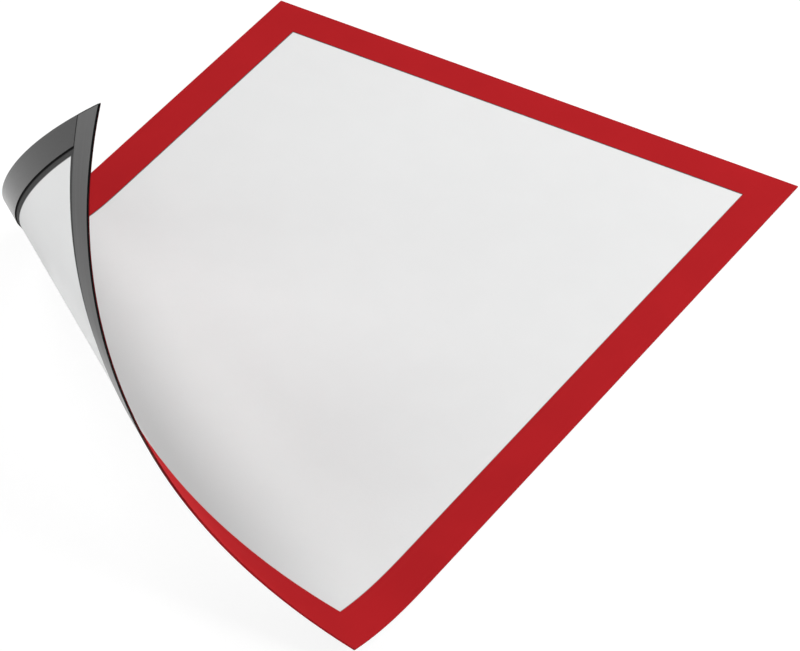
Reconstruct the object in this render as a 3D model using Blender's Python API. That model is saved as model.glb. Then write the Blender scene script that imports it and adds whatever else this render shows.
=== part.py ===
"""Magnetic sign frame for one A4 sheet, lying on its back with the lower left corner curled up and over.

The real frame is one flexible laminate. A red border ring and a dark backing ring are bonded to the
two sides of a frosted window film, and four flexible magnet strips are taped to the backing. The
insert slips into the shallow recess between the strips.

Every layer is drawn flat, scored along the same rulings and then folded a little at each ruling, so
the whole stack follows one conical curl and the layers stay parallel to each other.

Frame of the part, in metres: the origin is the middle of the flat outline on the surface that the
frame lies on, +X is the frame's right, +Y is its top and +Z is the way its front faces.
"""

import math

import bmesh
import bpy
from mathutils import Matrix, Vector

# Insert that the frame is made for
INSERT_WIDTH = 0.210
INSERT_HEIGHT = 0.297
INSERT_CLEARANCE = 0.0002
INSERT_LAP = 0.0026

# Magnet strips and the tape under them
MAGNET_WIDTH = 0.0124
MAGNET_SETBACK = 0.0004
MAGNET_END_GAP = 0.0002
TAPE_SETBACK = 0.0003

# Layers, from the front to the back
FACE_THICKNESS = 0.00020
FILM_THICKNESS = 0.00012
BACKING_THICKNESS = 0.00010
TAPE_THICKNESS = 0.00005
MAGNET_THICKNESS = 0.00040
GLUE_LINE = 0.00002

# Curl of the lower left corner. It starts on a line across the sheet, and all of its rulings would
# meet at one apex beyond the left edge.
CURL_START_LEFT = 0.131
CURL_START_RIGHT = 0.270
CURL_APEX_REACH = 0.340
CURL_TURN = math.radians(129.0)
CURL_FOLDS = 60

# How fast the sheet turns, by share of the way from the curl's start to the corner
CURL_RISE_SHARE = 0.104
CURL_CREST_SHARE = 0.45
CURL_CREST_RATE = 1.32
CURL_TIP_RATE = 0.52

# Two points closer than this count as one when a layer is scored
SCORE_TOLERANCE = 1e-6

# Sizes that follow from the ones above
SHEET_WIDTH = INSERT_WIDTH + 2 * (INSERT_CLEARANCE + MAGNET_WIDTH + MAGNET_SETBACK)
SHEET_HEIGHT = INSERT_HEIGHT + 2 * (INSERT_CLEARANCE + MAGNET_WIDTH + MAGNET_SETBACK)
BORDER_WIDTH = MAGNET_SETBACK + MAGNET_WIDTH + INSERT_CLEARANCE + INSERT_LAP
FILM_DEPTH = FACE_THICKNESS + GLUE_LINE
BACKING_DEPTH = FILM_DEPTH + FILM_THICKNESS + GLUE_LINE
TAPE_DEPTH = BACKING_DEPTH + BACKING_THICKNESS + GLUE_LINE
MAGNET_DEPTH = TAPE_DEPTH + TAPE_THICKNESS + GLUE_LINE
STACK_HEIGHT = MAGNET_DEPTH + MAGNET_THICKNESS


class Rectangle:
    """An upright rectangle on the flat sheet."""

    def __init__(self, left, bottom, right, top):
        self.left, self.bottom, self.right, self.top = left, bottom, right, top

    def inset(self, by):
        return Rectangle(self.left + by, self.bottom + by, self.right - by, self.top - by)

    def corners(self):
        return [
            (self.left, self.bottom),
            (self.right, self.bottom),
            (self.right, self.top),
            (self.left, self.top),
        ]


class Curl:
    """The folds that turn the flat sheet into its curled shape, from the first ruling to the corner."""

    def __init__(self, sheet):
        corner = Vector((sheet.left, sheet.bottom))
        slope = (CURL_START_LEFT - CURL_START_RIGHT) / (sheet.right - sheet.left)
        start_left = Vector((sheet.left, sheet.top - CURL_START_LEFT))
        self.apex = start_left - CURL_APEX_REACH * Vector((1, slope))
        first = math.atan(slope)
        to_corner = corner - self.apex
        last = math.atan2(to_corner.y, to_corner.x)
        shares = [i / CURL_FOLDS for i in range(CURL_FOLDS)]
        angles = [first + share * (last - first) for share in shares]
        rates = [turning_rate(share) for share in shares]
        self.rulings = [Vector((math.cos(a), math.sin(a))) for a in angles]
        self.folds = [CURL_TURN * rate / sum(rates) for rate in rates]
        self.placements = [Matrix.Identity(4)]
        pivot = self.apex.to_3d()
        for ruling, fold in zip(self.rulings, self.folds):
            turn = Matrix.Rotation(-fold, 4, ruling.to_3d())
            about = Matrix.Translation(pivot) @ turn @ Matrix.Translation(-pivot)
            self.placements.append(self.placements[-1] @ about)

    def past(self, point, ruling):
        """How far a flat point lies past a ruling, towards the curled corner."""
        offset = point - self.apex
        return offset.x * ruling.y - offset.y * ruling.x

    def place(self, point, depth):
        """Where a point of the flat sheet goes, at a depth behind the front surface."""
        offsets = [self.past(point, ruling) for ruling in self.rulings]
        passed = sum(offset > SCORE_TOLERANCE for offset in offsets)
        after = self.placements[passed]
        normal = after.to_3x3() @ Vector((0, 0, 1))
        on_ruling = passed < len(offsets) and abs(offsets[passed]) <= SCORE_TOLERANCE
        if on_ruling:
            next_normal = self.placements[passed + 1].to_3x3() @ Vector((0, 0, 1))
            half_fold = self.folds[passed] / 2
            normal = (normal + next_normal).normalized() / math.cos(half_fold)
        return after @ point.to_3d() - depth * normal


def turning_rate(share):
    """The curl's rate of turning: a quick rise, a long crest and a slower tip."""
    if share < CURL_RISE_SHARE:
        return (share + 0.5 / CURL_FOLDS) / (CURL_RISE_SHARE + 0.5 / CURL_FOLDS)
    if share < CURL_CREST_SHARE:
        along = (share - CURL_RISE_SHARE) / (CURL_CREST_SHARE - CURL_RISE_SHARE)
        return 1 + along * (CURL_CREST_RATE - 1)
    along = (share - CURL_CREST_SHARE) / (1 - CURL_CREST_SHARE)
    return CURL_CREST_RATE + along * (CURL_TIP_RATE - CURL_CREST_RATE)


def make_material(name, colour, roughness):
    """A plain Principled material. The colour is given as it looks on a screen, from 0 to 1."""
    material = bpy.data.materials.new(name)
    material.use_nodes = True
    shader = material.node_tree.nodes["Principled BSDF"]
    linear = [((c + 0.055) / 1.055) ** 2.4 if c > 0.04045 else c / 12.92 for c in colour]
    shader.inputs["Base Color"].default_value = (*linear, 1)
    shader.inputs["Roughness"].default_value = roughness
    shader.inputs["Metallic"].default_value = 0
    return material


def draw_flat(bm, outer, window):
    """The layer's flat outline as faces: one rectangle, or four mitred sides round a window."""
    outside = [bm.verts.new((*corner, 0)) for corner in outer.corners()]
    if window is None:
        bm.faces.new(outside)
        return
    inside = [bm.verts.new((*corner, 0)) for corner in window.corners()]
    for i in range(4):
        j = (i + 1) % 4
        bm.faces.new((outside[i], outside[j], inside[j], inside[i]))


def score(bm, curl):
    """Cuts the flat faces along every ruling, so that each strip between two rulings stays plane."""
    for ruling in curl.rulings:
        bmesh.ops.bisect_plane(
            bm,
            geom=bm.verts[:] + bm.edges[:] + bm.faces[:],
            dist=SCORE_TOLERANCE,
            plane_co=curl.apex.to_3d(),
            plane_no=(ruling.y, -ruling.x, 0),
        )


def make_layer(name, curl, outer, window, depth, thickness, material, carrier):
    """One layer or strip of the laminate, drawn flat, scored, thickened and curled."""
    bm = bmesh.new()
    draw_flat(bm, outer, window)
    score(bm, curl)
    front = bm.verts[:]
    extruded = bmesh.ops.extrude_face_region(bm, geom=bm.faces[:])["geom"]
    back = [item for item in extruded if isinstance(item, bmesh.types.BMVert)]
    for vert in front:
        vert.co = curl.place(vert.co.xy, depth)
    for vert in back:
        vert.co = curl.place(vert.co.xy, depth + thickness)
    bmesh.ops.recalc_face_normals(bm, faces=bm.faces[:])
    mesh = bpy.data.meshes.new(name)
    bm.to_mesh(mesh)
    bm.free()
    mesh.shade_smooth()
    mesh.set_sharp_from_angle(angle=math.radians(30))
    mesh.materials.append(material)
    layer = bpy.data.objects.new(name, mesh)
    layer.parent = carrier
    bpy.context.scene.collection.objects.link(layer)


def strip_places(sheet):
    """The four magnet strips: the top and bottom ones run full width, the side ones fit between."""
    outer = sheet.inset(MAGNET_SETBACK)
    recess = outer.inset(MAGNET_WIDTH)
    side_bottom = recess.bottom + MAGNET_END_GAP
    side_top = recess.top - MAGNET_END_GAP
    return {
        "top": Rectangle(outer.left, recess.top, outer.right, outer.top),
        "bottom": Rectangle(outer.left, outer.bottom, outer.right, recess.bottom),
        "left": Rectangle(outer.left, side_bottom, recess.left, side_top),
        "right": Rectangle(recess.right, side_bottom, outer.right, side_top),
    }


def make_front(curl, sheet, carrier):
    """The red border ring, the window film behind it and the dark ring that backs the film."""
    window = sheet.inset(BORDER_WIDTH)
    red = make_material("border_red", (0.70, 0.13, 0.15), 0.45)
    frosted = make_material("frosted_film", (0.90, 0.90, 0.90), 0.35)
    dark = make_material("backing_dark_grey", (0.26, 0.26, 0.26), 0.55)
    make_layer("border_face", curl, sheet, window, 0, FACE_THICKNESS, red, carrier)
    make_layer("window_film", curl, sheet, None, FILM_DEPTH, FILM_THICKNESS, frosted, carrier)
    make_layer("border_backing", curl, sheet, window, BACKING_DEPTH, BACKING_THICKNESS, dark, carrier)


def make_strips(curl, sheet, carrier):
    """The four magnet strips and the double-sided tape that holds each one."""
    adhesive = make_material("tape_adhesive", (0.80, 0.76, 0.62), 0.60)
    magnet = make_material("magnet_grey", (0.40, 0.40, 0.40), 0.50)
    for side, place in strip_places(sheet).items():
        taped = place.inset(TAPE_SETBACK)
        tape = (f"adhesive_tape_{side}", curl, taped, None, TAPE_DEPTH, TAPE_THICKNESS)
        strip = (f"magnet_strip_{side}", curl, place, None, MAGNET_DEPTH, MAGNET_THICKNESS)
        make_layer(*tape, adhesive, carrier)
        make_layer(*strip, magnet, carrier)


def main():
    for old in list(bpy.data.objects):
        bpy.data.objects.remove(old, do_unlink=True)
    sheet = Rectangle(-SHEET_WIDTH / 2, -SHEET_HEIGHT / 2, SHEET_WIDTH / 2, SHEET_HEIGHT / 2)
    carrier = bpy.data.objects.new("magnetic_sign_frame", None)
    carrier.location = (0, 0, STACK_HEIGHT)
    bpy.context.scene.collection.objects.link(carrier)
    curl = Curl(sheet)
    make_front(curl, sheet, carrier)
    make_strips(curl, sheet, carrier)
    bpy.context.view_layer.update()


main()
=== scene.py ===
"""Magnetic sign frame for one A4 sheet: finished layers, procedural finishes, studio and camera.

Every layer of the laminate is drawn flat at its own depth and then curled by one Geometry Nodes
tree, so all layers stay parallel. Lengths are in metres, in the frame of the part: +X is the
frame's right, +Y its top, and the frame lies on the plane z = 0.
"""

import math

import bmesh
import bpy
from bpy.props import FloatProperty, FloatVectorProperty, IntProperty, PointerProperty
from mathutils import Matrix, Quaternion, Vector


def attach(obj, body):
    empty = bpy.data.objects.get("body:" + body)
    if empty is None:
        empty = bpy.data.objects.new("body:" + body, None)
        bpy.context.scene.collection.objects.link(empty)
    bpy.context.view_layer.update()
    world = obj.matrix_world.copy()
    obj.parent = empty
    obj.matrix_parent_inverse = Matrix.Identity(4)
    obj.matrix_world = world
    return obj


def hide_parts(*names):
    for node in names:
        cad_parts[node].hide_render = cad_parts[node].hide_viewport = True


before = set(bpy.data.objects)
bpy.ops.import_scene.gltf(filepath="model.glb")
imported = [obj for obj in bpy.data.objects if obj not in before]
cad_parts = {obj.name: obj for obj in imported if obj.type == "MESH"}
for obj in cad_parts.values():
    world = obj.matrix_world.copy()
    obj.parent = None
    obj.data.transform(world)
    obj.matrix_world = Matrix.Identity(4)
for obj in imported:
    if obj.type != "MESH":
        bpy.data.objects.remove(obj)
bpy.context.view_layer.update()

bl_info = {
    "name": "Magnetic Sign Frame",
    "version": (1, 0, 0),
    "blender": (4, 5, 0),
    "location": "3D View > Sidebar > Sign Frame",
    "description": "Builds a curled magnetic sign frame, layer by layer, with its studio",
    "category": "Add Mesh",
}

BODY = "root"
SIDES = ("top", "bottom", "left", "right")


class Rectangle:
    """An upright rectangle on the flat sheet."""

    def __init__(self, left, bottom, right, top):
        self.left, self.bottom, self.right, self.top = left, bottom, right, top

    def inset(self, by):
        return Rectangle(self.left + by, self.bottom + by, self.right - by, self.top - by)

    def holds(self, x, y):
        return self.left < x < self.right and self.bottom < y < self.top


def length_property(name, description, default):
    """A length in metres, shown with its unit."""
    return FloatProperty(
        name=name, description=description, default=default, min=0, precision=5, unit="LENGTH"
    )


def share_property(name, description, default):
    """A part of a whole, from 0 to 1."""
    return FloatProperty(name=name, description=description, default=default, min=0, max=1)


def colour_property(name, description, default):
    """A colour as it looks on a screen."""
    return FloatVectorProperty(
        name=name, description=description, default=default, min=0, max=1, subtype="COLOR_GAMMA"
    )


class SignFrameSizes(bpy.types.PropertyGroup):
    """The flat frame and the layers of its laminate."""

    width: length_property("Width", "Outer width of the flat frame", 0.236)
    height: length_property("Height", "Outer height of the flat frame", 0.323)
    border: length_property("Border", "Width of the coloured border", 0.0156)
    strip_width: length_property("Strip Width", "Width of a magnet strip", 0.0124)
    strip_setback: length_property("Strip Setback", "From the outer edge to a strip", 0.0004)
    strip_gap: length_property("Strip Gap", "Seam between two strips", 0.0002)
    face: length_property("Face", "Thickness of the coloured border film", 0.0002)
    film: length_property("Film", "Thickness of the window film", 0.00012)
    backing: length_property("Backing", "Thickness of the dark ring behind the film", 0.0001)
    tape: length_property("Tape", "Thickness of the tape under a strip", 0.00005)
    strip: length_property("Strip", "Thickness of a magnet strip", 0.0004)
    glue: length_property("Glue Line", "Space between two layers", 0.00002)
    rim: length_property("Rim", "Rounding along the cut edges", 0.00004)
    cell: length_property("Cell", "Size of the mesh's cells", 0.002)


class SignFrameCurl(bpy.types.PropertyGroup):
    """The conical curl of the lower left corner."""

    start_left: length_property("Start Left", "From the top edge down the left side", 0.131)
    start_right: length_property("Start Right", "From the top edge down the right side", 0.270)
    apex_reach: length_property("Apex Reach", "From the left edge out to the apex", 0.340)
    turn: FloatProperty(
        name="Turn",
        description="How far the corner turns over",
        default=math.radians(129.0),
        subtype="ANGLE",
    )
    folds: IntProperty(
        name="Folds", description="Steps in which the curl turns", default=60, min=1, max=200
    )
    rise_share: share_property("Rise Share", "Where the curl has picked up its rate", 0.104)
    crest_share: share_property("Crest Share", "Where the curl turns fastest", 0.45)
    crest_rate: FloatProperty(
        name="Crest Rate", description="Rate of turning at the crest", default=1.32
    )
    tip_rate: FloatProperty(
        name="Tip Rate", description="Rate of turning at the corner", default=0.52
    )


class SignFrameFinish(bpy.types.PropertyGroup):
    """The colours of the finishes."""

    border: colour_property("Border", "Matt film of the border", (0.713, 0.13, 0.15))
    border_edge: colour_property("Border Edge", "Cut edges of the border film", (0.38, 0.07, 0.09))
    # Red of the outer edges along the flat part; up the curl they darken as painted shade
    flat_edge: colour_property("Flat Edge", "Outer edges along the flat part", (0.70, 0.14, 0.16))
    film: colour_property("Film", "Frosted window film", (0.934, 0.936, 0.936))
    film_shade: colour_property("Film Shade", "Cloudy patches in the film", (0.930, 0.932, 0.932))
    film_edge: colour_property("Film Edge", "Film between the two rings", (0.38, 0.08, 0.10))
    backing: colour_property("Backing", "Dark ring behind the film", (0.29, 0.29, 0.29))
    strip: colour_property("Strip", "Back of the top and bottom strips", (0.27, 0.27, 0.27))
    # The same rubber as the other strips, drawn darker as painted shade
    shaded_side_strip: colour_property("Side Strip", "Back of the side strips", (0.10, 0.10, 0.10))
    # Also the black of the painted shade beside the strips and at the tip of the outer edges
    rubber: colour_property("Rubber", "Cut edges of the magnet strips", (0.05, 0.05, 0.05))
    tape: colour_property("Tape", "Adhesive tape", (0.80, 0.76, 0.62))


def sizes():
    return bpy.context.scene.sign_frame_sizes


def curl_sizes():
    return bpy.context.scene.sign_frame_curl


def finish():
    return bpy.context.scene.sign_frame_finish


def sheet_outline():
    """The whole flat frame."""
    s = sizes()
    return Rectangle(-s.width / 2, -s.height / 2, s.width / 2, s.height / 2)


def stack_depths():
    """How far each layer's front lies behind the frame's front, and the whole thickness."""
    s = sizes()
    film = s.face + s.glue
    backing = film + s.film + s.glue
    tape = backing + s.backing + s.glue
    strip = tape + s.tape + s.glue
    return {
        "face": 0,
        "film": film,
        "backing": backing,
        "strip": strip,
        "whole": strip + s.strip,
    }


# Node trees


class Tree:
    """A node tree with short calls that add nodes, set their sockets and link them."""

    def __init__(self, tree):
        self.tree = tree

    def add(self, kind, sockets=None, **settings):
        """A new node. A socket's value may be a number, a vector or another node's output."""
        node = self.tree.nodes.new(kind)
        for name, value in settings.items():
            setattr(node, name, value)
        for key, value in (sockets or {}).items():
            self.put(node.inputs[key], value)
        return node

    def put(self, socket, value):
        if isinstance(value, bpy.types.NodeSocket):
            self.tree.links.new(value, socket)
        else:
            socket.default_value = value

    def math(self, operation, *values, clamp=False):
        sockets = dict(enumerate(values))
        return self.add("ShaderNodeMath", sockets, operation=operation, use_clamp=clamp).outputs[0]

    def spread(self, value, low, high, to_low, to_high, clamp=False):
        """Maps a value from one range to another, in a straight line."""
        sockets = {"Value": value, 1: low, 2: high, 3: to_low, 4: to_high}
        return self.add("ShaderNodeMapRange", sockets, clamp=clamp).outputs[0]

    def ramp(self, value, low, high, top=1.0):
        """Grows from 0 to the top between two values, in a straight line."""
        return self.spread(value, low, high, 0.0, top, clamp=True)

    def vector(self, operation, *values, output=0):
        sockets = dict(enumerate(values))
        node = self.add("ShaderNodeVectorMath", sockets, operation=operation)
        return node.outputs[output]

    def split(self, vector):
        """The outputs X, Y and Z of a vector."""
        return self.add("ShaderNodeSeparateXYZ", {0: vector}).outputs

    def store(self, geometry, name, value, domain):
        """The geometry with a named number on its points or faces."""
        sockets = {"Geometry": geometry, "Name": name, "Value": value}
        settings = {"data_type": "FLOAT", "domain": domain}
        return self.add("GeometryNodeStoreNamedAttribute", sockets, **settings).outputs[0]


def new_group(name, inputs, outputs):
    """A Geometry Nodes group with its named sockets. Returns it with its input and output nodes."""
    group = bpy.data.node_groups.new(name, "GeometryNodeTree")
    for socket_name, kind in inputs:
        group.interface.new_socket(socket_name, in_out="INPUT", socket_type=kind)
    for socket_name, kind in outputs:
        group.interface.new_socket(socket_name, in_out="OUTPUT", socket_type=kind)
    tree = Tree(group)
    return tree, tree.add("NodeGroupInput").outputs, tree.add("NodeGroupOutput")


def turning_rate_group():
    """Rate of turning by share of the way to the corner: quick rise, long crest, slower tip."""
    number = "NodeSocketFloat"
    names = ("Share", "Rise Share", "Crest Share", "Crest Rate", "Tip Rate", "Half Step")
    tree, given, result = new_group(
        "Turning Rate", [(name, number) for name in names], [("Rate", number)]
    )
    share, rise, crest = given["Share"], given["Rise Share"], given["Crest Share"]
    first_rate = tree.math("DIVIDE", given["Half Step"], tree.math("ADD", rise, given["Half Step"]))
    rising = tree.spread(share, 0.0, rise, first_rate, 1.0)
    cresting = tree.spread(share, rise, crest, 1.0, given["Crest Rate"])
    falling = tree.spread(share, crest, 1.0, given["Crest Rate"], given["Tip Rate"])
    lowest = tree.math("MINIMUM", tree.math("MINIMUM", rising, cresting), falling)
    tree.put(result.inputs["Rate"], lowest)
    return tree.tree


def repeat_zone(tree, items, count):
    """A repeat zone with its items as (name, kind, start). Returns its input and output nodes."""
    first = tree.add("GeometryNodeRepeatInput")
    last = tree.add("GeometryNodeRepeatOutput")
    first.pair_with_output(last)
    last.repeat_items.clear()
    for name, kind, _ in items:
        last.repeat_items.new(kind, name)
    tree.put(first.inputs["Iterations"], count)
    for name, _, start in items:
        if start is not None:
            tree.put(first.inputs[name], start)
    return first, last


def curl_group():
    """Curls flat geometry: every ruling passes through the apex, and the sheet turns at each."""
    number, place, whole = "NodeSocketFloat", "NodeSocketVector", "NodeSocketInt"
    inputs = [
        ("Geometry", "NodeSocketGeometry"),
        ("Apex", place),
        ("First Ruling", number),
        ("Last Ruling", number),
        ("Turn", number),
        ("Folds", whole),
        ("Rise Share", number),
        ("Crest Share", number),
        ("Crest Rate", number),
        ("Tip Rate", number),
        ("Material", "NodeSocketMaterial"),
    ]
    tree, given, result = new_group("Curled Layer", inputs, [("Geometry", "NodeSocketGeometry")])
    rate_group = turning_rate_group()
    folds = given["Folds"]
    half_step = tree.math("DIVIDE", 0.5, folds)

    def rate_at(share):
        sockets = {"Share": share, "Half Step": half_step}
        for name in ("Rise Share", "Crest Share", "Crest Rate", "Tip Rate"):
            sockets[name] = given[name]
        node = tree.add("GeometryNodeGroup", node_tree=rate_group)
        for name, value in sockets.items():
            tree.put(node.inputs[name], value)
        return node.outputs["Rate"]

    # Walls are marked while the layer is still flat.
    normal = tree.add("GeometryNodeInputNormal").outputs[0]
    upright = tree.math("ABSOLUTE", tree.split(normal)["Z"])
    wall = tree.math("SUBTRACT", 1.0, upright)
    marked = tree.store(given["Geometry"], "cut_edge", wall, "FACE")

    # How far each point lies along the way from the first ruling to the corner
    position = tree.add("GeometryNodeInputPosition").outputs[0]
    offset = tree.split(tree.vector("SUBTRACT", position, given["Apex"]))
    angle = tree.math("ARCTAN2", offset["Y"], offset["X"])
    share = tree.spread(angle, given["First Ruling"], given["Last Ruling"], 0.0, 1.0)
    flat = tree.add("GeometryNodeCaptureAttribute", {"Geometry": marked}, domain="POINT")
    flat.capture_items.new("FLOAT", "Share")
    tree.put(flat.inputs["Share"], share)
    shared = tree.store(flat.outputs["Geometry"], "curl_share", flat.outputs["Share"], "POINT")

    # All rates together, so that the folds add up to the whole turn
    first, last = repeat_zone(tree, [("Index", "INT", 0), ("Sum", "FLOAT", 0.0)], folds)
    rate = rate_at(tree.math("DIVIDE", first.outputs["Index"], folds))
    tree.put(last.inputs["Index"], tree.math("ADD", first.outputs["Index"], 1.0))
    tree.put(last.inputs["Sum"], tree.math("ADD", first.outputs["Sum"], rate))
    turn_at_one = tree.math("DIVIDE", given["Turn"], last.outputs["Sum"])

    # The folds, from the last one at the corner back to the first
    items = [("Geometry", "GEOMETRY", shared), ("Index", "INT", 1)]
    first, last = repeat_zone(tree, items, folds)
    index = first.outputs["Index"]
    fold_share = tree.math("SUBTRACT", 1.0, tree.math("DIVIDE", index, folds))
    past = tree.math("MULTIPLY", tree.math("SUBTRACT", flat.outputs["Share"], fold_share), folds)
    part = tree.math("ADD", past, 0.5, clamp=True)
    fold = tree.math("MULTIPLY", tree.math("MULTIPLY", turn_at_one, rate_at(fold_share)), part)
    ruling = tree.spread(fold_share, 0.0, 1.0, given["First Ruling"], given["Last Ruling"])
    axis_sockets = {"X": tree.math("COSINE", ruling), "Y": tree.math("SINE", ruling)}
    turned = tree.add(
        "ShaderNodeVectorRotate",
        {
            "Vector": position,
            "Center": given["Apex"],
            "Axis": tree.add("ShaderNodeCombineXYZ", axis_sockets).outputs[0],
            "Angle": tree.math("MULTIPLY", fold, -1.0),
        },
        rotation_type="AXIS_ANGLE",
    )
    sockets = {"Geometry": first.outputs["Geometry"], "Position": turned.outputs[0]}
    moved = tree.add("GeometryNodeSetPosition", sockets)
    tree.put(last.inputs["Geometry"], moved.outputs[0])
    tree.put(last.inputs["Index"], tree.math("ADD", index, 1.0))

    real = tree.add("GeometryNodeRealizeInstances", {"Geometry": last.outputs["Geometry"]})
    finished = tree.add(
        "GeometryNodeSetMaterial", {"Geometry": real.outputs[0], "Material": given["Material"]}
    )
    tree.put(result.inputs["Geometry"], finished.outputs[0])
    return tree.tree


def curl_tree():
    return bpy.data.node_groups.get("Curled Layer") or curl_group()


def curl_inputs(material):
    """The values of the curl's named inputs."""
    s, c = sizes(), curl_sizes()
    sheet = sheet_outline()
    slope = (c.start_left - c.start_right) / s.width
    start = Vector((sheet.left, sheet.top - c.start_left))
    apex = start - c.apex_reach * Vector((1, slope))
    corner = Vector((sheet.left, sheet.bottom)) - apex
    return {
        "Apex": (apex.x, apex.y, stack_depths()["whole"]),
        "First Ruling": math.atan(slope),
        "Last Ruling": math.atan2(corner.y, corner.x),
        "Turn": c.turn,
        "Folds": c.folds,
        "Rise Share": c.rise_share,
        "Crest Share": c.crest_share,
        "Crest Rate": c.crest_rate,
        "Tip Rate": c.tip_rate,
        "Material": material,
    }


def set_inputs(modifier, values):
    """Sets a Geometry Nodes modifier's inputs by the identifiers of their sockets."""
    for item in modifier.node_group.interface.items_tree:
        if item.item_type == "SOCKET" and item.in_out == "INPUT" and item.name in values:
            modifier[item.identifier] = values[item.name]


# Flat layers

# Edges of a flat layer that turn more than this are rounded
RIM_ANGLE = math.radians(60)
RIM_SEGMENTS = 2
# Edges of a curled layer that turn more than this are shaded sharp
SHARP_ANGLE = math.radians(20)


def cuts(low, high, cell, *edges):
    """Where grid lines cross a side: whole cells, and the edges of the layer itself."""
    lines = [i * cell for i in range(math.ceil(low / cell), math.floor(high / cell) + 1)]
    edges = [low, high, *edges]
    near = cell / 4
    kept = [line for line in lines if all(abs(line - edge) > near for edge in edges)]
    return sorted(kept + edges)


def flat_layer(name, outer, window, depth, thickness, along="x"):
    """A flat slab as a grid, with an opening where it has one. Its UV runs along and across it."""
    cell = sizes().cell
    inner = window or Rectangle(outer.left, outer.bottom, outer.left, outer.bottom)
    xs = cuts(outer.left, outer.right, cell, *([inner.left, inner.right] if window else []))
    ys = cuts(outer.bottom, outer.top, cell, *([inner.bottom, inner.top] if window else []))
    front = stack_depths()["whole"] - depth
    bm = bmesh.new()
    grid = {}

    def corner(i, j):
        if (i, j) not in grid:
            grid[i, j] = bm.verts.new((xs[i], ys[j], front))
        return grid[i, j]

    for i in range(len(xs) - 1):
        for j in range(len(ys) - 1):
            if not inner.holds((xs[i] + xs[i + 1]) / 2, (ys[j] + ys[j + 1]) / 2):
                places = ((i, j), (i + 1, j), (i + 1, j + 1), (i, j + 1))
                bm.faces.new([corner(*place) for place in places])
    made = bmesh.ops.extrude_face_region(bm, geom=bm.faces[:])["geom"]
    back = [item for item in made if isinstance(item, bmesh.types.BMVert)]
    bmesh.ops.translate(bm, verts=back, vec=(0, 0, -thickness))
    bmesh.ops.recalc_face_normals(bm, faces=bm.faces[:])
    uv = bm.loops.layers.uv.new("Sheet")
    for face in bm.faces:
        for loop in face.loops:
            x, y, _ = loop.vert.co
            loop[uv].uv = (x, y) if along == "x" else (y, x)
    mesh = bpy.data.meshes.new(name)
    bm.to_mesh(mesh)
    bm.free()
    layer = bpy.data.objects.new(name, mesh)
    bpy.context.scene.collection.objects.link(layer)
    return layer


def curl_layer(layer, material):
    """Rounds a flat layer's rims, curls it and keeps the result as its plain mesh."""
    rims = layer.modifiers.new("Rims", "BEVEL")
    rims.width = sizes().rim
    rims.segments = RIM_SEGMENTS
    rims.limit_method = "ANGLE"
    rims.angle_limit = RIM_ANGLE
    bend = layer.modifiers.new("Curl", "NODES")
    bend.node_group = curl_tree()
    set_inputs(bend, curl_inputs(material))
    graph = bpy.context.evaluated_depsgraph_get()
    mesh = bpy.data.meshes.new_from_object(layer.evaluated_get(graph))
    layer.modifiers.clear()
    old = layer.data
    layer.data = mesh
    bpy.data.meshes.remove(old)
    mesh.name = layer.name
    mesh.shade_smooth()
    mesh.set_sharp_from_angle(angle=SHARP_ANGLE)
    return layer


def dress(piece, node):
    """Puts a finished piece on the frame's body in place of its plain node."""
    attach(piece, BODY)
    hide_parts(node)


# Finishes

# Grey line in the backing's colour on the film along the border's inner edge, and how strong it is
LINE_WIDTH = 0.0004
LINE_SHARE = 0.7
# Dark line at the ends of a strip
SEAM_WIDTH = 0.0003
# From this far outside the border's inner edge the film is hidden between two rings
COVERED = 0.0002
# Painted shade in the recess beside a strip: the backing turns nearly black between these two
# shares of its ledge
LEDGE_SHADE = (0.66, 0.78)
# Levels of noise between which clouds and grains have their full range
CLOUD_LEVELS = (0.35, 0.65)
GRAIN_LEVELS = (0.3, 0.7)
# Roughness over the grain of the border and of the film, of the dark edges of a strip, and how far
# the fine lines of a strip change its own
BORDER_ROUGHNESS = (0.7, 0.8)
FILM_ROUGHNESS = (0.65, 0.8)
DARK_EDGE_ROUGHNESS = 0.9
LINE_ROUGHNESS = 0.02
# Places along the curl are shares of the way from the first ruling, at 0, to the corner, at 1. On
# the way up the film gets painted shade and the border painted light, and past the crest both have
# their own tone again.
FILM_RISE = (0.08, 0.38)
BORDER_RISE = (0.26, 0.42)
LIFT_CREST = (0.42, 0.52)
# Tones of the film where it rises, painted shade where no light from the ground shines through it,
# and of the border where it rises, painted light
RISEN_FILM_SHADE = 0.66
RISEN_BORDER_LIGHT = 1.2
# Where the outer edges turn from red to each layer's own edge, and then to black: painted shade up
# the curl
EDGE_SHADE_RISE = (0.38, 0.53)
EDGE_TIP_SHADE = (0.84, 0.90)
# Where the sheet turns its back up, just past the crest, and gets lighter: painted light. The
# film's painted light there sets in between two places across the flat sheet, in metres to the
# right of its middle, and leaves it darker beside the left strip.
BACK_RISE = (0.46, 0.54)
BACK_FALL = (0.54, 0.65)
BACK_LIGHT_SETS_IN = (-0.081, -0.066)
BACK_PAINTED_LIGHT = 1.12
# Where painted light makes a strip lighter towards the corner, and its tone there
STRIP_TIP_LIGHT = (0.80, 1.0)
TIP_PAINTED_LIGHT = 1.8


def linear(colour):
    """A colour as it looks on a screen, as the shader's own numbers."""
    return (*(((c + 0.055) / 1.055) ** 2.4 if c > 0.04045 else c / 12.92 for c in colour), 1)


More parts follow.
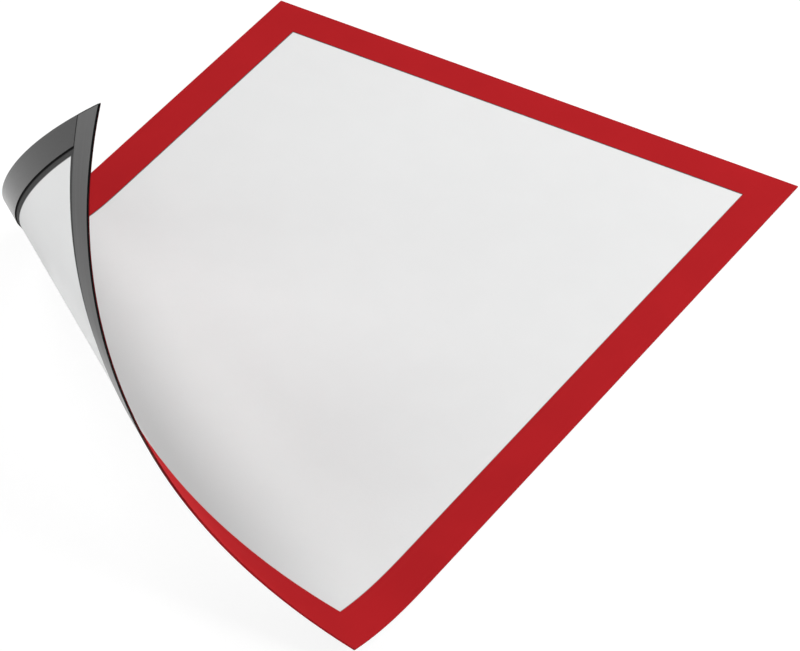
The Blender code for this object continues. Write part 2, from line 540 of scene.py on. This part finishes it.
class Finish(Tree):
    """A procedural material round one Principled shader."""

    def __init__(self, name, roughness, specular):
        self.material = bpy.data.materials.new(name)
        self.material.use_nodes = True
        super().__init__(self.material.node_tree)
        self.shader = self.tree.nodes["Principled BSDF"]
        self.shader.inputs["Roughness"].default_value = roughness
        self.shader.inputs["Specular IOR Level"].default_value = specular
        self.sheet = self.add("ShaderNodeUVMap", uv_map="Sheet").outputs[0]
        self.object = self.add("ShaderNodeTexCoord").outputs["Object"]

    def noise(self, place, size, detail=2.0, stretch=None):
        """Noise from 0 to 1 whose patches are about that size in metres."""
        if stretch:
            place = self.vector("MULTIPLY", place, stretch)
        sockets = {"Vector": place, "Scale": 1 / size, "Detail": detail}
        return self.add("ShaderNodeTexNoise", sockets).outputs[0]

    def mix(self, share, first, second):
        """One colour over another."""
        node = self.add("ShaderNodeMix", data_type="RGBA")
        for key, value in ((0, share), (6, first), (7, second)):
            self.put(node.inputs[key], value)
        return node.outputs[2]

    def ease(self, value, low, high):
        """Grows softly from 0 to 1 between two values."""
        sockets = {"Value": value, 1: low, 2: high}
        smooth = self.add("ShaderNodeMapRange", sockets, interpolation_type="SMOOTHSTEP")
        return smooth.outputs[0]

    def cut_edge(self):
        """1 on the cut edges of a layer and 0 on its faces."""
        return self.add("ShaderNodeAttribute", attribute_name="cut_edge").outputs["Fac"]

    def curl_share(self):
        """How far along the curl a point lies: 0 at the first ruling and 1 at the corner."""
        return self.add("ShaderNodeAttribute", attribute_name="curl_share").outputs["Fac"]

    def outer_edge_and_shade(self, colour, outward, middle):
        """Colour of cut edges. Past the middle line they are red low down and darken to black at
        the tip, painted shade.
        """
        share = self.curl_share()
        low = self.mix(self.ramp(share, *EDGE_SHADE_RISE), linear(finish().flat_edge), colour)
        outer = self.mix(self.ramp(share, *EDGE_TIP_SHADE), low, linear(finish().rubber))
        return self.mix(self.math("GREATER_THAN", outward, middle), colour, outer)

    def rise_light_and_shade(self, start, full):
        """Grows from 0 to 1 where the sheet rises into the curl, and is 0 again past the crest. It
        places painted shade on the film and painted light on the border.
        """
        share = self.curl_share()
        cresting = self.spread(share, *LIFT_CREST, 1.0, 0.0, clamp=True)
        return self.math("MINIMUM", self.ease(share, start, full), cresting)

    def turned_over_light(self):
        """Grows from 0 to 1 just past the crest, and is 0 again farther up the curl's back. It
        places painted light on the film and a painted sheen on the strips.
        """
        share = self.curl_share()
        return self.math("SUBTRACT", self.ease(share, *BACK_RISE), self.ease(share, *BACK_FALL))

    def past_border(self):
        """How far a point of the sheet lies outside the border's inner edge, in metres."""
        s = sizes()
        place = self.split(self.sheet)
        reach_x = self.math("SUBTRACT", self.math("ABSOLUTE", place["X"]), s.width / 2 - s.border)
        reach_y = self.math("SUBTRACT", self.math("ABSOLUTE", place["Y"]), s.height / 2 - s.border)
        return self.math("MAXIMUM", reach_x, reach_y)

    def bump(self, height, distance, strength=1.0):
        sockets = {"Height": height, "Distance": distance, "Strength": strength}
        return self.add("ShaderNodeBump", sockets).outputs[0]

    def finish(self, colour, roughness=None, normal=None):
        self.put(self.shader.inputs["Base Color"], colour)
        if roughness is not None:
            self.put(self.shader.inputs["Roughness"], roughness)
        if normal is not None:
            self.put(self.shader.inputs["Normal"], normal)
        return self.material


def toned(colour, share):
    """The same colour with that share of its light, less than 1 or more."""
    return tuple(c * share for c in colour[:3]) + (1,)


def border_finish():
    """Matt coloured film: a fine even grain, faint clouds and darker cut edges, with painted light
    where it rises and painted shade on its outer edges up the curl.
    """
    f = Finish("border_red", roughness=0.75, specular=0.02)
    colour = linear(finish().border)
    clouds = f.ramp(f.noise(f.sheet, size=0.03), *CLOUD_LEVELS)
    clouded = f.mix(clouds, colour, toned(colour, 0.95))
    # Painted light: the border is lighter where it rises into the curl
    face = f.mix(f.rise_light_and_shade(*BORDER_RISE), clouded, toned(colour, RISEN_BORDER_LIGHT))
    # Painted shade: the outer cut edges darken up the curl
    edge = f.outer_edge_and_shade(linear(finish().border_edge), f.past_border(), sizes().border / 2)
    tinted = f.mix(f.cut_edge(), face, edge)
    grain = f.noise(f.sheet, size=0.0005, detail=3.0)
    rough = f.spread(grain, *GRAIN_LEVELS, *BORDER_ROUGHNESS, clamp=True)
    return f.finish(tinted, rough, f.bump(grain, distance=0.00001, strength=0.4))


def film_finish():
    """Frosted window film: a fine sparkle, a thin grey line along the border and dark under it.

    It is darker where it rises from the ground and lighter just past the crest: painted shade and
    painted light.
    """
    f = Finish("frosted_film", roughness=0.7, specular=0.03)
    film = linear(finish().film)
    clouds = f.ramp(f.noise(f.sheet, size=0.02), *CLOUD_LEVELS)
    clouded = f.mix(clouds, film, linear(finish().film_shade))
    # Painted shade: the film is darker where it rises from the ground
    risen = f.mix(f.rise_light_and_shade(*FILM_RISE), clouded, toned(film, RISEN_FILM_SHADE))
    # Painted light just past the crest, away from the left strip
    sets_in = f.ease(f.split(f.sheet)["X"], *BACK_LIGHT_SETS_IN)
    turned = f.math("MULTIPLY", f.turned_over_light(), sets_in)
    face = f.mix(turned, risen, toned(film, BACK_PAINTED_LIGHT))
    reach = f.past_border()
    border_line = f.ramp(reach, -LINE_WIDTH, -LINE_WIDTH / 2, LINE_SHARE)
    lined = f.mix(border_line, face, linear(finish().backing))
    covered = f.math("GREATER_THAN", reach, COVERED)
    # Painted shade: the outer cut edges darken up the curl
    edge = f.outer_edge_and_shade(linear(finish().film_edge), reach, sizes().border / 2)
    tinted = f.mix(covered, lined, edge)
    grain = f.noise(f.sheet, size=0.0012, detail=3.0)
    rough = f.spread(grain, *GRAIN_LEVELS, *FILM_ROUGHNESS, clamp=True)
    return f.finish(tinted, rough, f.bump(grain, distance=0.00006, strength=0.6))


def backing_finish():
    """Matt dark ring behind the film, with painted shade that turns it nearly black beside the
    magnet strips.
    """
    f = Finish("backing_dark_grey", roughness=0.7, specular=0.05)
    colour, rubber = linear(finish().backing), linear(finish().rubber)
    grain = f.noise(f.sheet, size=0.0006, detail=3.0)
    face = f.mix(grain, colour, toned(colour, 0.8))
    s = sizes()
    ledge = s.border - s.strip_setback - s.strip_width
    # Painted shade in the recess beside the strips
    beside = f.ramp(f.past_border(), *(share * ledge for share in LEDGE_SHADE))
    shaded = f.mix(beside, face, rubber)
    # Painted shade: the outer cut edges darken up the curl
    edge = f.outer_edge_and_shade(rubber, f.past_border(), s.border / 2)
    dark = f.mix(f.cut_edge(), shaded, edge)
    return f.finish(dark, None, f.bump(grain, distance=0.00001, strength=0.3))


def strip_finish(name, colour, roughness, specular, half_length, middle, sheen):
    """Magnetic rubber: fine lines along the strip, blacker cut edges and dark seams at its ends.

    The middle is how far the strip's middle line lies from the frame's. The sheen is the strip's
    tone just past the crest, a painted sheen; towards the corner the strip gets painted light.
    """
    f = Finish(name, roughness, specular)
    lines = f.noise(f.sheet, size=0.0012, detail=3.0, stretch=(0.02, 1, 1))
    lined = f.mix(f.ramp(lines, *GRAIN_LEVELS), toned(colour, 0.9), toned(colour, 1.1))
    # Painted sheen just past the crest
    painted_sheen = f.mix(f.turned_over_light(), lined, toned(colour, sheen))
    # Painted light towards the corner
    tip_light = f.ramp(f.curl_share(), *STRIP_TIP_LIGHT)
    face = f.mix(tip_light, painted_sheen, toned(colour, TIP_PAINTED_LIGHT))
    place = f.split(f.vector("ABSOLUTE", f.sheet))
    along, across = place["X"], place["Y"]
    seam = f.ramp(along, half_length - 2 * SEAM_WIDTH, half_length - SEAM_WIDTH)
    dark = f.math("MAXIMUM", seam, f.cut_edge())
    rubber = linear(finish().rubber)
    # Painted shade: the outer cut edges darken up the curl
    edged = f.mix(f.cut_edge(), face, f.outer_edge_and_shade(rubber, across, middle))
    seamed = f.mix(seam, edged, rubber)
    range_of_lines = (roughness + LINE_ROUGHNESS, roughness - LINE_ROUGHNESS)
    rough = f.spread(lines, *GRAIN_LEVELS, *range_of_lines, clamp=True)
    matt = f.math("MAXIMUM", rough, f.math("MULTIPLY", dark, DARK_EDGE_ROUGHNESS))
    return f.finish(seamed, matt, f.bump(lines, distance=0.00001, strength=0.5))


def tape_finish():
    """Double-sided tape: cloudy pale adhesive."""
    f = Finish("tape_adhesive", roughness=0.6, specular=0.4)
    colour = linear(finish().tape)
    clouds = f.noise(f.object, size=0.004, detail=3.0)
    face = f.mix(clouds, colour, toned(colour, 0.85))
    return f.finish(face, None, f.bump(clouds, distance=0.00002, strength=0.4))


# Operators


class SIGNFRAME_OT_border(bpy.types.Operator):
    """Makes the coloured border film in front and the dark ring behind the window film"""

    bl_idname = "sign_frame.border"
    bl_label = "Border Face and Backing"

    def execute(self, context):
        s, depth, sheet = sizes(), stack_depths(), sheet_outline()
        window = sheet.inset(s.border)
        face = flat_layer("border_film", sheet, window, depth["face"], s.face)
        dress(curl_layer(face, border_finish()), "border_face")
        ring = flat_layer("backing_ring", sheet, window, depth["backing"], s.backing)
        dress(curl_layer(ring, backing_finish()), "border_backing")
        return {"FINISHED"}


class SIGNFRAME_OT_window(bpy.types.Operator):
    """Makes the frosted window film, which runs under the whole border"""

    bl_idname = "sign_frame.window"
    bl_label = "Window Film"

    def execute(self, context):
        depth, thickness = stack_depths()["film"], sizes().film
        film = flat_layer("frosted_window", sheet_outline(), None, depth, thickness)
        dress(curl_layer(film, film_finish()), "window_film")
        return {"FINISHED"}


def strip_places():
    """The four magnet strips: the top and bottom ones run full width, the side ones fit between."""
    s = sizes()
    outer = sheet_outline().inset(s.strip_setback)
    recess = outer.inset(s.strip_width)
    low, high = recess.bottom + s.strip_gap, recess.top - s.strip_gap
    return {
        "top": Rectangle(outer.left, recess.top, outer.right, outer.top),
        "bottom": Rectangle(outer.left, outer.bottom, outer.right, recess.bottom),
        "left": Rectangle(outer.left, low, recess.left, high),
        "right": Rectangle(recess.right, low, outer.right, high),
    }


class SIGNFRAME_OT_strips(bpy.types.Operator):
    """Makes the four magnet strips on the back"""

    bl_idname = "sign_frame.strips"
    bl_label = "Magnet Strips"

    def execute(self, context):
        places, middle = strip_places(), sizes().strip_setback + sizes().strip_width / 2
        # The top and bottom strips get a painted sheen just past the crest
        cross = strip_finish(
            "magnet_grey",
            linear(finish().strip),
            roughness=0.36,
            specular=0.2,
            half_length=places["top"].right,
            middle=sizes().height / 2 - middle,
            sheen=4.0,
        )
        # The side strips are drawn darker, painted shade
        upright = strip_finish(
            "magnet_grey_side",
            linear(finish().shaded_side_strip),
            roughness=0.20,
            specular=0.28,
            half_length=places["left"].top,
            middle=sizes().width / 2 - middle,
            sheen=1.0,
        )
        depth, thickness = stack_depths()["strip"], sizes().strip
        for side, place in places.items():
            along, material = ("x", cross) if side in ("top", "bottom") else ("y", upright)
            strip = flat_layer(f"rubber_strip_{side}", place, None, depth, thickness, along)
            dress(curl_layer(strip, material), f"magnet_strip_{side}")
        return {"FINISHED"}


class SIGNFRAME_OT_tapes(bpy.types.Operator):
    """Gives the tape under each strip its finish"""

    bl_idname = "sign_frame.tapes"
    bl_label = "Adhesive Tapes"

    def execute(self, context):
        material = tape_finish()
        for side in SIDES:
            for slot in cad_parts[f"adhesive_tape_{side}"].material_slots:
                slot.material = material
        return {"FINISHED"}


# Studio and camera

LENS = 247.39
SENSOR_WIDTH = 36.0
CLIP_RANGE = (0.1, 100)
AZIMUTH = math.radians(31.504)
ELEVATION = math.radians(38.395)
ROLL = math.radians(0.159)
DISTANCE = 2.0464
LOOKS_AT = Vector((0.03301, 0.007380, 0.00095))
# Light that the surroundings give, where 1 is full white
WORLD_LEVEL = 0.02
# Soft lights: where each one stands, its width and its power in watts
SOFTBOXES = {
    "near_light": ((0.35, -1.9, 1.1), 1.0, 5.5),
    "near_right_light": ((0.78, -1.35, 0.9), 0.5, 6.6),
    "near_left_light": ((-1.3, -0.4, 1.0), 0.8, 5.8),
    "low_left_light": ((-0.9, -1.2, 0.35), 0.5, 4.0),
    "left_light": ((-1.41, 0.38, 1.06), 0.4, 3.3),
    "far_left_light": ((-1.26, 0.73, 1.06), 0.4, 7.3),
    "far_light": ((0.4, 0.9, 0.6), 0.5, 4.8),
    "right_light": ((0.9, 0.2, 0.6), 0.5, 5.6),
}
FLOOR_RADIUS = 12.0
FLOOR_SIDES = 64
# The floor's colour to light, and the grey that shows the shadow to the camera
FLOOR_WHITE = (0.8, 0.8, 0.8, 1)
SHADOW_GREY = (0.25, 0.25, 0.25, 1)
# The floor glows at this level round the frame, and at full white from far out, in metres
NEAR_GLOW = 0.83
GLOW_SPREAD = (0.8, 1.8)
WHITE = (1, 1, 1, 1)


def background_share(tree):
    """1 for the rays that should see the plain white background, and 0 for light."""
    path = tree.add("ShaderNodeLightPath").outputs
    seen = tree.math("MAXIMUM", path["Is Camera Ray"], path["Is Glossy Ray"])
    return tree.math("MAXIMUM", seen, path["Is Transmission Ray"])


def make_floor():
    """A wide white floor that keeps a soft shadow of the frame."""
    mesh = bpy.data.meshes.new("floor")
    bm = bmesh.new()
    bmesh.ops.create_circle(bm, cap_ends=True, segments=FLOOR_SIDES, radius=FLOOR_RADIUS)
    bm.to_mesh(mesh)
    bm.free()
    floor = bpy.data.objects.new("floor", mesh)
    bpy.context.scene.collection.objects.link(floor)
    material = bpy.data.materials.new("white_floor")
    material.use_nodes = True
    tree = Tree(material.node_tree)
    tree.tree.nodes.clear()
    lit = tree.add("ShaderNodeBsdfDiffuse", {"Color": FLOOR_WHITE})
    shadow_catcher = tree.add("ShaderNodeBsdfDiffuse", {"Color": SHADOW_GREY})
    place = tree.add("ShaderNodeTexCoord").outputs["Object"]
    far = tree.vector("LENGTH", place, output="Value")
    level = tree.spread(far, *GLOW_SPREAD, NEAR_GLOW, 1.0, clamp=True)
    glow = tree.add("ShaderNodeEmission", {"Color": WHITE, "Strength": level})
    seen = tree.add("ShaderNodeAddShader", {0: shadow_catcher.outputs[0], 1: glow.outputs[0]})
    sockets = {0: background_share(tree), 1: lit.outputs[0], 2: seen.outputs[0]}
    mixed = tree.add("ShaderNodeMixShader", sockets)
    tree.add("ShaderNodeOutputMaterial", {"Surface": mixed.outputs[0]})
    mesh.materials.append(material)


def make_world(level):
    """Even white surroundings. The camera and reflections see them at full white."""
    world = bpy.data.worlds.new("white_studio")
    bpy.context.scene.world = world
    world.use_nodes = True
    tree = Tree(world.node_tree)
    tree.tree.nodes.clear()
    strength = tree.spread(background_share(tree), 0.0, 1.0, level, 1.0)
    white = tree.add("ShaderNodeBackground", {"Color": WHITE, "Strength": strength})
    tree.add("ShaderNodeOutputWorld", {"Surface": white.outputs[0]})


def make_softbox(name, place, size, power):
    """A square area light aimed at the frame."""
    light = bpy.data.lights.new(name, "AREA")
    light.shape = "SQUARE"
    light.size = size
    light.energy = power
    lamp = bpy.data.objects.new(name, light)
    lamp.location = place
    lamp.rotation_euler = (LOOKS_AT - Vector(place)).to_track_quat("-Z", "Y").to_euler()
    bpy.context.scene.collection.objects.link(lamp)


def make_camera():
    """The camera at the photograph's place."""
    data = bpy.data.cameras.new("camera")
    data.lens = LENS
    data.sensor_width = SENSOR_WIDTH
    data.sensor_fit = "HORIZONTAL"
    data.clip_start, data.clip_end = CLIP_RANGE
    camera = bpy.data.objects.new("camera", data)
    level = math.cos(ELEVATION)
    back = Vector((math.sin(AZIMUTH) * level, -math.cos(AZIMUTH) * level, math.sin(ELEVATION)))
    camera.location = LOOKS_AT + DISTANCE * back
    upright = (-back).to_track_quat("-Z", "Y")
    camera.rotation_euler = (upright @ Quaternion((0, 0, 1), ROLL)).to_euler()
    bpy.context.scene.collection.objects.link(camera)
    bpy.context.scene.camera = camera


class SIGNFRAME_OT_stage(bpy.types.Operator):
    """Makes the white floor, the soft light and the camera"""

    bl_idname = "sign_frame.stage"
    bl_label = "Studio and Camera"

    def execute(self, context):
        context.scene.view_settings.view_transform = "Standard"
        make_floor()
        make_world(WORLD_LEVEL)
        for name, (place, size, power) in SOFTBOXES.items():
            make_softbox(name, place, size, power)
        make_camera()
        return {"FINISHED"}


class SIGNFRAME_PT_sidebar(bpy.types.Panel):
    """Lists the steps that build the frame"""

    bl_label = "Sign Frame"
    bl_space_type = "VIEW_3D"
    bl_region_type = "UI"
    bl_category = "Sign Frame"

    def draw(self, context):
        for operator in OPERATORS:
            self.layout.operator(operator.bl_idname)
        for group in (sizes(), curl_sizes(), finish()):
            box = self.layout.box()
            for name in group.__annotations__:
                box.prop(group, name)


OPERATORS = (
    SIGNFRAME_OT_border,
    SIGNFRAME_OT_window,
    SIGNFRAME_OT_strips,
    SIGNFRAME_OT_tapes,
    SIGNFRAME_OT_stage,
)
GROUPS = {
    "sign_frame_sizes": SignFrameSizes,
    "sign_frame_curl": SignFrameCurl,
    "sign_frame_finish": SignFrameFinish,
}
CLASSES = (*GROUPS.values(), *OPERATORS, SIGNFRAME_PT_sidebar)


def register():
    for entry in CLASSES:
        bpy.utils.register_class(entry)
    for name, group in GROUPS.items():
        setattr(bpy.types.Scene, name, PointerProperty(type=group))


def unregister():
    for name in GROUPS:
        delattr(bpy.types.Scene, name)
    for entry in reversed(CLASSES):
        bpy.utils.unregister_class(entry)


def main():
    register()
    bpy.ops.sign_frame.border()
    bpy.ops.sign_frame.window()
    bpy.ops.sign_frame.strips()
    bpy.ops.sign_frame.tapes()
    bpy.ops.sign_frame.stage()


if __name__ == "__main__":
    main()
